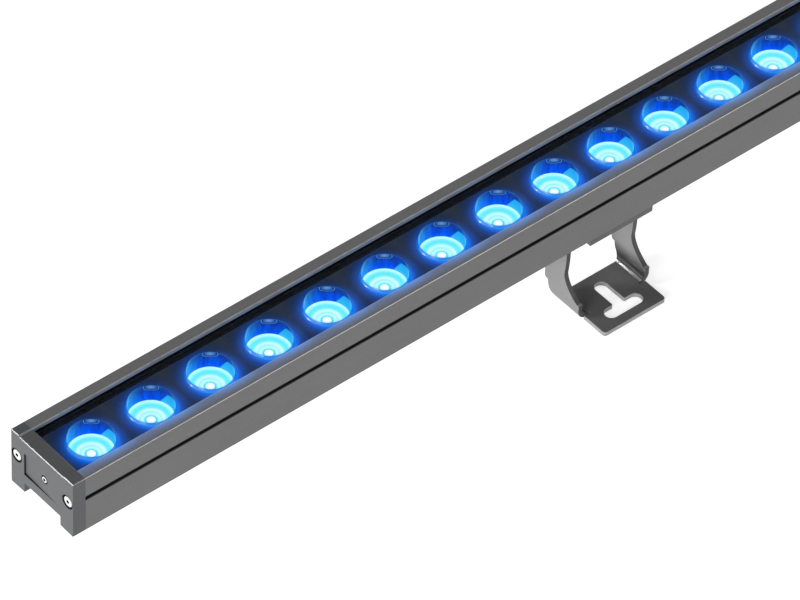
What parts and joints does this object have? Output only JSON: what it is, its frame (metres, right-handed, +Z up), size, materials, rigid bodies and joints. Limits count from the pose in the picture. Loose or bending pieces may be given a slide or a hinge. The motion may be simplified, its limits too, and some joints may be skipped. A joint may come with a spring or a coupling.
{
  "type": "outdoor wall washer light",
  "caption": "Outdoor wall washer light: a slim aluminium bar with a row of blue lensed lights under glass, on sliding swivel brackets with T-shaped fixing slots.",
  "frame": {"origin": "on the mounting plane under both base plates, midway between the two brackets, on the line through the centres of their cross slots", "axes": "+X along the bar towards the cable gland, +Y from the cross slots towards the swivel axis, +Z up from the mounting plane towards the glass"},
  "size_m": [1.03, 0.067, 0.1075],
  "materials": {
    "bar_metal": "fine sand-textured dark grey powder coat on extruded aluminium",
    "cap_metal": "fine sand-textured dark grey powder coat on cast aluminium",
    "bracket_metal": "fine sand-textured grey powder coat on bent sheet",
    "hinge_metal": "fine sand-textured dark grey powder coat on formed steel sheet",
    "stainless_steel": "bright turned stainless steel",
    "black_rubber": "matte black silicone rubber",
    "black_nylon": "moulded black nylon",
    "plate_metal": "satin black painted sheet",
    "clear_glass": "clear toughened glass",
    "lens_acrylic": "clear moulded acrylic lit blue from below",
    "board_white": "white solder mask on an aluminium board",
    "light_chip": "clear domed light-emitting chip"
  },
  "bodies": {
    "bar": {"housing": "bar_metal", "end_cap_near": "cap_metal", "end_cap_far": "cap_metal", "end_gasket_near": "black_rubber", "end_gasket_far": "black_rubber", "cap_screws": "stainless_steel", "vent_plug": "stainless_steel", "gland_body": "black_nylon", "gland_nut": "black_nylon", "gland_insert": "black_rubber", "cover_glass": "clear_glass", "glass_seals": "black_rubber", "lens_plate": "plate_metal", "circuit_board": "board_white", "light_chips": "light_chip", "board_screws": "stainless_steel", "lens_01": "lens_acrylic", "lens_02": "lens_acrylic", "lens_03": "lens_acrylic", "lens_04": "lens_acrylic", "lens_05": "lens_acrylic", "lens_06": "lens_acrylic", "lens_07": "lens_acrylic", "lens_08": "lens_acrylic", "lens_09": "lens_acrylic", "lens_10": "lens_acrylic", "lens_11": "lens_acrylic", "lens_12": "lens_acrylic", "lens_13": "lens_acrylic", "lens_14": "lens_acrylic", "lens_15": "lens_acrylic", "lens_16": "lens_acrylic", "lens_17": "lens_acrylic", "lens_18": "lens_acrylic", "lens_19": "lens_acrylic", "lens_20": "lens_acrylic", "lens_21": "lens_acrylic", "lens_22": "lens_acrylic", "lens_23": "lens_acrylic", "lens_24": "lens_acrylic"},
    "carriage_a": {"hinge_plate_a": "hinge_metal", "clamp_screws_a": "stainless_steel", "slot_nuts_a": "stainless_steel", "pivot_bolts_a": "stainless_steel", "pivot_washers_a": "stainless_steel", "pivot_nuts_a": "stainless_steel"},
    "bracket_a": {"swivel_bracket_a": "bracket_metal"},
    "carriage_b": {"hinge_plate_b": "hinge_metal", "clamp_screws_b": "stainless_steel", "slot_nuts_b": "stainless_steel", "pivot_bolts_b": "stainless_steel", "pivot_washers_b": "stainless_steel", "pivot_nuts_b": "stainless_steel"},
    "bracket_b": {"swivel_bracket_b": "bracket_metal"}
  },
  "joints": [
    {"name": "slide_a", "type": "slide", "parent": "bar", "child": "carriage_a", "axis": [1, 0, 0], "range_m": [-0.34, 0.06]},
    {"name": "swivel_a", "type": "hinge", "parent": "carriage_a", "child": "bracket_a", "pos_m": [-0.1125, 0.0296, 0.057], "axis": [1, 0, 0], "range_deg": [-90, 90]},
    {"name": "slide_b", "type": "slide", "parent": "bar", "child": "carriage_b", "axis": [1, 0, 0], "range_m": [-0.06, 0.34]},
    {"name": "swivel_b", "type": "hinge", "parent": "carriage_b", "child": "bracket_b", "pos_m": [0.1125, 0.0296, 0.057], "axis": [1, 0, 0], "range_deg": [-90, 90]}
  ]
}
